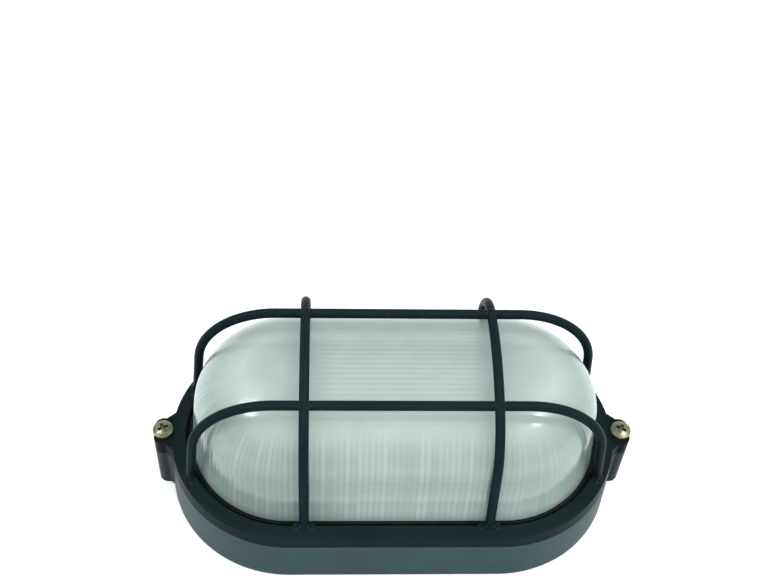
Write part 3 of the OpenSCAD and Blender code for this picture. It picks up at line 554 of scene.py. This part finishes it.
# Painted light and shade by height: the foot is painted pale against the shade of the ring, the colour is
# darkest at mid wall, painted paler up to the shoulder against the shadow of the front bar, and a trace
# darker over the crown
rise = add(tree, "MapRange", Value=height, i1=30 * MM, i2=85 * MM).outputs["Result"]
milk_and_height_light_stops = [(0.14, "#c3d2cd"), (0.29, "#a5b6b1"), (0.44, "#899a93"), (0.56, "#85968f"), (0.7, "#9fafa9"),
         (0.83, "#afbeb8"), (0.9, "#bfccc6"), (0.96, "#cfdcd6"), (1.0, "#bdccc7")]
milk_with_painted_light = add(tree, "ValToRGB", {"stops": milk_and_height_light_stops}, Fac=rise).outputs["Color"]
# Valleys between ridges are a little darker and greener, as the steep sides there turn light away
valley = add(tree, "ValToRGB", {"stops": [(0.0, "#e0e6e3"), (0.9, "#ffffff")]}, Fac=raised).outputs["Color"]
multiply = {"data_type": "RGBA", "blend_type": "MULTIPLY"}
fluted = add(tree, "Mix", multiply, Factor=1.0, i6=milk_with_painted_light, i7=valley).outputs[2]
# Holder and lead stand close behind one spot of the wall, and show there as a soft shade
away = add(tree, "VectorMath", {"operation": "DISTANCE"}, i0=place, i1=SHADE_AT).outputs["Value"]
shade = add(tree, "MapRange", {"interpolation_type": "SMOOTHSTEP"}, Value=away, i1=5 * MM, i2=52 * MM,
            i3=0.62, i4=1.0).outputs["Result"]
shaded = add(tree, "VectorMath", {"operation": "SCALE"}, i0=fluted, Scale=shade).outputs["Vector"]
# Chill waves of the pressing, some 14 mm across: they bend the gloss and cloud the body a little
chill = add(tree, "TexNoise", Vector=place, Scale=per_mm(14), Detail=2.0).outputs["Fac"]
cloudy = add(tree, "MapRange", Value=chill, i1=0.35, i2=0.65, i3=0.94, i4=1.0).outputs["Result"]
body = add(tree, "Mix", multiply, Factor=1.0, i6=shaded, i7=cloudy).outputs[2]
wavy = add(tree, "Bump", Height=chill, Strength=1.0, Distance=0.06 * MM).outputs["Normal"]
feed(tree, shader, Base_Color=body, Normal=wavy, Roughness=0.4, IOR=1.52, Transmission_Weight=0.12,
     Coat_Weight=1.0, Coat_Roughness=0.15, Coat_IOR=1.52)
print(pressed_glass.name, "has", len(tree.nodes), "nodes")

# %% Glass in one piece
SMOOTH_TONE = 0.4

def tone_of(relief, faded):
    """Ridges near 1, valleys 0, and the smooth tone where there is no relief."""
    return relief + SMOOTH_TONE * (1 - faded)

zones = [inner_crown, inner_wall, foot_skin, outer_wall, outer_crown]
plain_tones = [np.full(skin.shape[:2], SMOOTH_TONE) for skin in (inner_crown, inner_wall, foot_skin)]
# The ribs of the crown are lower than the flutes, and differ less in tone
rib_tone = 0.18 * ribs_fade + 0.35 * ribs
relief = plain_tones + [tone_of(flutes, flutes_fade), tone_of(rib_tone, ribs_fade)]
fluted_glass = piece_from_zones("fluted_glass", zones, "guard", [pressed_glass], relief=relief)
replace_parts(fluted_glass, "lens")

# %% [markdown]
# ## Rubber
#
# The ring under the glass and the bushes in the back are moulded EPDM rubber. It is black from the soot
# in it, quite matt, and it never looks clean: a thin grey bloom lies on it in patches. The moulded skin
# is finer than a render can show, so its bump is drawn coarser, with grains half a millimetre wide.

# %% EPDM rubber
rubber, tree, shader, place = finish_named("moulded_epdm_rubber")
bloom = add(tree, "TexNoise", Vector=place, Scale=per_mm(9), Detail=4.0).outputs["Fac"]
black = add(tree, "ValToRGB", {"stops": [(0.4, "#0a1110"), (0.75, "#141d1c")]}, Fac=bloom).outputs["Color"]
skin = add(tree, "TexNoise", Vector=place, Scale=per_mm(0.5)).outputs["Fac"]
pimples = add(tree, "Bump", Height=skin, Strength=1.0, Distance=0.01 * MM).outputs["Normal"]
feed(tree, shader, Base_Color=black, Normal=pimples, Roughness=0.62, Specular_IOR_Level=0.15)
wear(rubber, "lens_gasket", "cable_grommet", "fixing_grommets")

# %% [markdown]
# ## Zinc on the screws
#
# All screws are steel with a plate of zinc. On the cover screws and the earth screw the zinc is
# passivated yellow. That is a film thinner than light's wavelength, so its tint runs from straw to
# green and a little pink from one spot to the next. The others are passivated clear, and stay a
# bluish grey. A ramp with three tints over slow noise gives both.

# %% Plated zinc
def plated(name, green, straw, pink, rough, grain_mm=0.4):
    """Zinc with its passivation: slow patches of tint, duller in places, over a turned grain that is drawn
    coarser than the real one, so that it shows."""
    material, tree, shader, place = finish_named(name)
    patch = add(tree, "TexNoise", Vector=place, Scale=per_mm(2.6), Detail=3.0).outputs["Fac"]
    film = add(tree, "ValToRGB", {"stops": [(0.32, green), (0.5, straw), (0.7, pink)]}, Fac=patch)
    grain = add(tree, "TexNoise", Vector=place, Scale=per_mm(grain_mm), Detail=2.0).outputs["Fac"]
    dull = add(tree, "MapRange", Value=patch, i1=0.3, i2=0.7, i3=rough - 0.06, i4=rough + 0.1)
    bump = add(tree, "Bump", Height=grain, Strength=1.0, Distance=0.008 * MM)
    feed(tree, shader, Base_Color=film.outputs["Color"], Roughness=dull.outputs["Result"],
         Normal=bump.outputs["Normal"], Metallic=1.0)
    return material

yellow_zinc = plated("yellow_passivated_zinc", "#868f74", "#a5a283", "#a3957e", rough=0.34)
bright_zinc = plated("bright_zinc_plate", "#a9b0b4", "#b4b8ba", "#bdb9b4", rough=0.3)
wear(yellow_zinc, "earth_screw")
wear(bright_zinc, "holder_screws", "bracket_screws", "lampholder_terminal_screws", "terminal_screws",
     "terminal_block_screw")

# %% [markdown]
# ## Cover screws
#
# The two M5 screws are turned, with a rolled thread and a pan head whose cross recess is pressed in.
# The thread is a helix: its radius depends on height and angle together. Head and shank are both
# surfaces over round and along, so a screw is a stack of zones: the head's top, its side, the
# threaded shank and its flat tip. Cutting the cross with a boolean would leave ragged faces.

# %% Turned surfaces
def ring_angles(columns):
    """The angle of each column, once round."""
    return np.linspace(0, 2 * pi, columns, endpoint=False)

def turned(radius, height, columns):
    """Round surface: x = r cos(angle), y = r sin(angle), z = height; r and height may vary with the angle."""
    angle = ring_angles(columns)
    return np.stack([radius * np.cos(angle), radius * np.sin(angle), height + 0 * angle], -1)

def turned_rings(outline, columns):
    """A turned surface through a few rings, each given as radius and height."""
    radius, height = np.array(outline, float).T[:, :, None]
    return turned(radius, height, columns)

print("with 96 columns, a column is", round(float(np.degrees(ring_angles(96)[1])), 2), "degrees wide")

# %% Pan head
PAN_R, PAN_H = 4.7, 3.2

def pan_head(pan_r, pan_h, columns=96):
    """Dome whose height is that of a sphere of 1.9 head radii, with a rounded rim, less the cross recess
    where the mask of either arm is."""
    rim, dome_rows, bend = 0.3, 22, np.radians([30, 60, 90])
    flat_r, dome_r = pan_r - rim, 1.9 * pan_r
    r = np.concatenate([np.linspace(0, flat_r, dome_rows), flat_r + rim * np.sin(bend)])[:, None]
    drop = np.concatenate([np.zeros(dome_rows), rim - rim * np.cos(bend)])[:, None]
    dome = pan_h - dome_r + np.sqrt(dome_r ** 2 - np.minimum(r, flat_r) ** 2) - drop
    angle = ring_angles(columns)
    x, y = np.abs(r * np.cos(angle)), np.abs(r * np.sin(angle))
    half_w, half_l, recess_top = 0.11 * pan_r, 0.525 * pan_r, 0.42 * pan_h
    def arm(along, across):
        """1 inside an arm of the cross and 0 outside, with sloping walls."""
        in_length = 1 - smooth_step(along, half_l - 0.25, half_l)
        return in_length * (1 - smooth_step(across, half_w - 0.12, half_w + 0.14))
    pressed = np.maximum(arm(x, y), arm(y, x))
    top = turned(r, dome - (dome - recess_top) * pressed, columns)
    side = turned_rings([(pan_r, pan_h / 2), (pan_r, 0.15), (pan_r - 0.15, 0)], columns)
    return [top, side]

print("zones of a pan head:", [zone.shape[:2] for zone in pan_head(PAN_R, PAN_H)])

# %% Shank and whole screw
def threaded_shank(radius, length, pitch, columns=32, per_turn=8):
    """Helix: the radius dips by half a cosine of (2 pi height / pitch - angle), 0.61 pitches deep in all."""
    rows = int(length / pitch * per_turn)
    z = -np.linspace(0, length - 0.5, rows)[:, None]
    dip = 0.5 - 0.5 * np.cos(2 * pi * z / pitch - ring_angles(columns))
    fade = smooth_step(-z, 0.6, 1.6) * (1 - smooth_step(-z, length - 1.6, length - 0.7))
    shank = turned(radius - 0.61 * pitch * dip * fade, z, columns)
    tip = turned_rings([(radius - 0.4, -length), (0, -length)], columns)
    return [shank, tip]

SCREW_X, SHANK_R, SHANK_L, SHANK_PITCH = 106.3, 2.5, 22, 0.8

def screw(name, x, turn, body):
    """One cover screw: its zones are turned about its own axis and then set at its seat on the ear."""
    c, s = cos(turn), sin(turn)
    spin = np.array([[c, s, 0], [-s, c, 0], [0, 0, 1]])
    zones = pan_head(PAN_R, PAN_H) + threaded_shank(SHANK_R, SHANK_L, SHANK_PITCH)
    zones = [zone @ spin + np.array([x, 0, RIM_Z]) for zone in zones]
    return piece_from_zones(name, zones, body, [yellow_zinc])

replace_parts(screw("left_cover_screw", -SCREW_X, radians(25), "left_screw"), "cover_screw_left")
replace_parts(screw("right_cover_screw", SCREW_X, radians(60), "right_screw"), "cover_screw_right")

# %% [markdown]
# ## Lampholder
#
# Inside, on a bent strip, sits a porcelain E27 holder. Porcelain is a white body under a clear glaze:
# the glaze is a coat of its own, and it pools a little, so the surface is smooth but never quite flat.
# The strip is galvanised, and its zinc froze into crystals. Shell, clamps and contact are sheet brass,
# rolled and stamped, the shell with a plate of nickel.

# %% Porcelain
porcelain, tree, shader, place = finish_named("glazed_porcelain")
speck = add(tree, "TexNoise", Vector=place, Scale=per_mm(3), Detail=4.0).outputs["Fac"]
biscuit = add(tree, "ValToRGB", {"stops": [(0.35, "#eae7dd"), (0.6, "#f1eee6")]}, Fac=speck).outputs["Color"]
pooled = add(tree, "TexNoise", Vector=place, Scale=per_mm(11)).outputs["Fac"]
glaze = add(tree, "Bump", Height=pooled, Strength=1.0, Distance=0.12 * MM).outputs["Normal"]
feed(tree, shader, Base_Color=biscuit, Normal=glaze, Roughness=0.35, Coat_Weight=1.0, Coat_Roughness=0.04)
wear(porcelain, "lampholder_body")

# %% Galvanised strip
# Hot-dip zinc freezes into crystals a few millimetres wide, each with a grey of its own
strip_zinc, tree, shader, place = finish_named("galvanised_steel_strip")
crystal = add(tree, "TexVoronoi", Vector=place, Scale=per_mm(4)).outputs["Color"]
grey = add(tree, "SeparateColor", {"mode": "HSV"}, Color=crystal).outputs[2]
spangle = add(tree, "ValToRGB", {"stops": [(0.2, "#9aa0a2"), (0.9, "#bfc4c5")]}, Fac=grey).outputs["Color"]
dull = add(tree, "MapRange", Value=grey, i3=0.34, i4=0.55).outputs["Result"]
feed(tree, shader, Base_Color=spangle, Roughness=dull, Metallic=1.0)
wear(strip_zinc, "lampholder_bracket")

# %% Nickel and brass
def rolled_metal(name, pale, deep, rough, grain_mm):
    """Rolled or stamped metal: a fine grain in the colour and the roughness."""
    material, tree, shader, place = finish_named(name)
    grain = add(tree, "TexNoise", Vector=place, Scale=per_mm(grain_mm), Detail=3.0).outputs["Fac"]
    tint = add(tree, "ValToRGB", {"stops": [(0.35, deep), (0.65, pale)]}, Fac=grain).outputs["Color"]
    dull = add(tree, "MapRange", Value=grain, i1=0.3, i2=0.7, i3=rough - 0.05, i4=rough + 0.08)
    feed(tree, shader, Base_Color=tint, Roughness=dull.outputs["Result"], Metallic=1.0)
    return material

nickel = rolled_metal("nickel_plated_brass", "#cbc7b6", "#b5b1a2", rough=0.24, grain_mm=1.2)
brass = rolled_metal("stamped_brass", "#c9a956", "#a98a3f", rough=0.3, grain_mm=0.8)
wear(brass, "lampholder_contact", "lampholder_terminals", "terminal_tubes", "earth_washer")

# %% [markdown]
# ## Threaded shell
#
# The shell is rolled from thin sheet, so its thread shows inside and outside: the same wave twice, a
# wall apart. The lamp's cap screws into it, with the same 3.63 mm from crest to crest, so one function
# gives the radius for both. A screw modifier could roll a thread too, but two such threads would not
# mesh by themselves.

# %% Threaded shell
CAP_TIP, LAMP_Z = -62.0, 42.0
THREAD, CAP_MEAN, CAP_WAVE = 3.63, 12.65, 0.45
SHELL_LOW, SHELL_HIGH, SHELL_T, FLOOR_R = 2.1, 23.0, 0.4, 8.0
# Mean radius inside and outside: 0.22 mm of play round the cap, and then the wall
SHELL_IN, SHELL_OUT = CAP_MEAN + 0.22, CAP_MEAN + 0.62

def on_lamp_axis(zone):
    """Lays a turned surface along X, from the cap's tip: height becomes x, and the old x points down."""
    return np.stack([zone[..., 2] + CAP_TIP, zone[..., 1], LAMP_Z - zone[..., 0]], -1)

def thread_radius(height, angle, mean, first, last):
    """Mean radius plus a cosine of (2 pi height / pitch - angle), faded in after first and out before last.
    The height is measured from the cap's tip, so the shell's thread and the cap's run together."""
    fade = smooth_step(height, first, first + 2) * (1 - smooth_step(height, last - 2, last))
    return mean + CAP_WAVE * fade * np.cos(2 * pi * height / THREAD - angle)

def threaded_shell(columns=64):
    """A floor with a hole, up the inner face, down the outer face and back under the floor."""
    angle = ring_angles(columns)
    floor_top = SHELL_LOW + SHELL_T
    up = np.linspace(floor_top, SHELL_HIGH, 62)[:, None]
    down = up[::-1]
    inner = turned(thread_radius(up, angle, SHELL_IN, SHELL_LOW + 1, SHELL_HIGH), up, columns)
    outer = turned(thread_radius(down, angle, SHELL_OUT, SHELL_LOW + 1, SHELL_HIGH), down, columns)
    floor_in = turned_rings([(FLOOR_R, floor_top), (CAP_MEAN - 0.2, floor_top)], columns)
    under = [(CAP_MEAN + 0.4, SHELL_LOW), (FLOOR_R, SHELL_LOW), (FLOOR_R, floor_top)]
    floor_out = turned_rings(under, columns)
    return [on_lamp_axis(zone) for zone in (floor_in, inner, outer, floor_out)]

shell = piece_from_zones("threaded_shell", threaded_shell(), "base", [nickel])
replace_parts(shell, "lampholder_shell")

# %% [markdown]
# ## The lamp
#
# A frosted 60 mm bulb. From its tip: a soldered contact, a black glass insulator, the threaded cap, the
# neck, which widens in a smooth curve, and the globe. The whole outline is one profile turned about
# the lamp's axis, and only the material changes from zone to zone. The globe is etched from the inside:
# a smooth face over a soft white body that lets light through, so a clear coat lies over a rough base.

# %% Lamp finishes
frosted, tree, shader, place = finish_named("frosted_bulb_glass")
etch = add(tree, "TexNoise", Vector=place, Scale=per_mm(6), Detail=3.0).outputs["Fac"]
frost = add(tree, "ValToRGB", {"stops": [(0.35, "#efede5"), (0.65, "#f6f4ee")]}, Fac=etch).outputs["Color"]
feed(tree, shader, Base_Color=frost, Roughness=0.5, IOR=1.52, Transmission_Weight=0.15, Coat_Weight=1.0,
     Coat_Roughness=0.03)
black_glass, tree, shader, place = finish_named("black_insulator_glass")
cast = add(tree, "TexNoise", Vector=place, Scale=per_mm(2)).outputs["Fac"]
jet = add(tree, "ValToRGB", {"stops": [(0.4, "#0b0b10"), (0.6, "#16161d")]}, Fac=cast).outputs["Color"]
feed(tree, shader, Base_Color=jet, Roughness=0.12)
solder = rolled_metal("solder", "#a7a9a6", "#8b8d8b", rough=0.4, grain_mm=1.0)
print("lamp finishes:", frosted.name, black_glass.name, solder.name)

# %% Lamp shape
GLOBE_R, GLOBE_H, NECK_R, NECK_H = 30, 75, 13.6, 23.8
# Where the neck meets the globe: radius, height, and how fast the radius grows there
TOUCH_R, TOUCH_H, TOUCH_SLOPE = 28.40, 65.33, 0.3405
CAP_LOW, CAP_HIGH = 4.8, 22.8

def neck_radius(t):
    """A cubic in t from 0 to 1 that leaves the cap along the axis and meets the globe at its tangent."""
    run = TOUCH_H - NECK_H
    return ((2 * t ** 3 - 3 * t ** 2 + 1) * NECK_R + (3 * t ** 2 - 2 * t ** 3) * TOUCH_R
            + (t ** 3 - t ** 2) * run * TOUCH_SLOPE)

def lamp_zones(columns=64):
    """Contact, insulator, cap, lip, neck and globe, as one profile from the tip on."""
    contact = turned_rings([(0, 0), (2.6, 0.1), (3.3, 0.5), (3.5, 2.0)], columns)
    insulator = turned_rings([(4.2, 2.3), (6.0, 2.6), (11.4, 4.7)], columns)
    h = np.linspace(CAP_LOW, CAP_HIGH, 54)[:, None]
    cap = turned(thread_radius(h, ring_angles(columns), CAP_MEAN, CAP_LOW, CAP_HIGH), h, columns)
    lip = turned_rings([(13.1, 23.1), (13.1, 23.6)], columns)
    t = np.linspace(0, 1, 26)[1:, None]
    neck = turned(neck_radius(t), NECK_H + t * (TOUCH_H - NECK_H), columns)
    a = np.linspace(np.arctan2(TOUCH_H - GLOBE_H, TOUCH_R), pi / 2, 40)[1:, None]
    globe = turned(GLOBE_R * np.cos(a) * (a < pi / 2), GLOBE_H + GLOBE_R * np.sin(a), columns)
    return [on_lamp_axis(zone) for zone in (contact, insulator, cap, lip, neck, globe)]

lamp = piece_from_zones("frosted_lamp", lamp_zones(), "base",
                        [frosted, nickel, black_glass, solder], marks=[3, 2, 1, 1, 0, 0])
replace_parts(lamp, "lamp")

# %% [markdown]
# ## Leads
#
# Two single leads run from the terminal block to the holder: brown is live and blue is neutral. Each is
# a round profile carried along a smooth path. The path goes through the points of the CAD route as a
# cubic that is tangent, at each point, to the line between its two neighbours. A curve object with a
# bevel would give the same tube, but not the same path as the solid that it stands in for. The sleeve
# is drawn PVC, satin and slightly uneven.

# %% Route of the leads
BLOCK = np.array([-31.5, 33.4, 9.0])
CLAMP = np.array([-73.5, 0.0, LAMP_Z])
live_route = np.array([BLOCK + d for d in (
    (-10.5, 6, 0), (-16, 6, 0.4), (-22, 5, 2.5), (-29, 2, 8.5), (-36, -2, 17.5), (-41, -5, 26))] + [
    CLAMP + d for d in ((0, 27, -1.6), (0, 22, -0.2), (0, 17.5, 0), (0, 13.5, 0))])
neutral_route = np.array([BLOCK + d for d in (
    (-10.5, -6, 0), (-14, -7, -0.3), (-16.2, -10.5, -1), (-17, -16, -1.8), (-17, -25, -2.4),
    (-17, -35, -2.4), (-17.5, -44.4, -1.6), (-20, -52.4, 1), (-24.5, -58.9, 6.5),
    (-30.5, -62.9, 13.5), (-37, -64.4, 21))] + [
    CLAMP + d for d in ((0.8, -29, -5.5), (0, -23.5, -1.2), (0, -18, 0), (0, -13.5, 0))])

def smooth_path(route, steps=8):
    """Between points b and c of a, b, c, d: half of 2b + (c-a)t + (2a-5b+4c-d)t^2 + (3b-a-3c+d)t^3."""
    ends = np.concatenate([route[:1], route, route[-1:]])
    a, b, c, d = (ends[i:len(ends) - 3 + i, None, :] for i in range(4))
    t = np.linspace(0, 1, steps, endpoint=False)[None, :, None]
    bend, sway = 2 * a - 5 * b + 4 * c - d, 3 * b - a - 3 * c + d
    curve = 0.5 * (2 * b + (c - a) * t + bend * t ** 2 + sway * t ** 3)
    return np.concatenate([curve.reshape(-1, 3), route[-1:]])

print("route points:", len(live_route), "and", len(neutral_route))

# %% Leads
SLEEVE_R = 1.3

def drawn_pvc(name, colour, deep):
    """Drawn sleeve: a colour that is hardly uneven, and satin."""
    material, tree, shader, place = finish_named(name)
    uneven = add(tree, "TexNoise", Vector=place, Scale=per_mm(5), Detail=2.0).outputs["Fac"]
    tint = add(tree, "ValToRGB", {"stops": [(0.35, deep), (0.65, colour)]}, Fac=uneven).outputs["Color"]
    bump = add(tree, "Bump", Height=uneven, Strength=1.0, Distance=0.05 * MM).outputs["Normal"]
    feed(tree, shader, Base_Color=tint, Normal=bump, Roughness=0.38, IOR=1.53)
    return material

def sleeve(name, route, node, material, columns=16):
    """A ring across the path at each point. Its side is direction x a fixed slanted line, and its up is
    side x direction."""
    path = smooth_path(route)
    ahead = np.gradient(path, axis=0)
    ahead /= np.linalg.norm(ahead, axis=1)[:, None]
    side = np.cross(ahead, [0.21, 0.13, 0.97])
    side /= np.linalg.norm(side, axis=1)[:, None]
    up = np.cross(side, ahead)
    angle = ring_angles(columns)[None, :, None]
    tube = path[:, None] + SLEEVE_R * (np.cos(angle) * side[:, None] + np.sin(angle) * up[:, None])
    first, last = (np.repeat(path[i][None, None], columns, 1) for i in (0, -1))
    lead = piece_from_zones(name, [first, tube, last], "base", [material])
    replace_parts(lead, node)
    print(f"{name} is {np.linalg.norm(np.diff(path, axis=0), axis=1).sum():.0f} mm long")

brown_pvc = drawn_pvc("brown_pvc_sleeve", "#6b4530", "#583725")
blue_pvc = drawn_pvc("blue_pvc_sleeve", "#2f5c93", "#264d7d")
sleeve("live_lead", live_route, "live_wire", brown_pvc)
sleeve("neutral_lead", neutral_route, "neutral_wire", blue_pvc)

# %% [markdown]
# ## Terminal block
#
# The block is moulded in natural polyamide, a milky plastic that light enters a little. Its shape is
# the CAD's own. Scattering under the surface, 1 to 2 mm deep, is what tells it from painted wood.

# %% Terminal block
polyamide, tree, shader, place = finish_named("natural_polyamide")
flow = add(tree, "TexNoise", Vector=place, Scale=per_mm(7), Detail=2.0).outputs["Fac"]
cream = add(tree, "ValToRGB", {"stops": [(0.35, "#d9d4c3"), (0.65, "#e6e2d4")]}, Fac=flow).outputs["Color"]
feed(tree, shader, Base_Color=cream, Roughness=0.4, IOR=1.53, Subsurface_Weight=0.25, Subsurface_Scale=1.0,
     Subsurface_Radius=(2 * MM, 1.8 * MM, 1.4 * MM))
wear(polyamide, "terminal_block")

# %% How far the pieces reach past the CAD box
grown = [round(v - c, 6) for v, c in zip(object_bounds()[1], cad_box[1])]
print("grown at the far corner by", grown, "m")
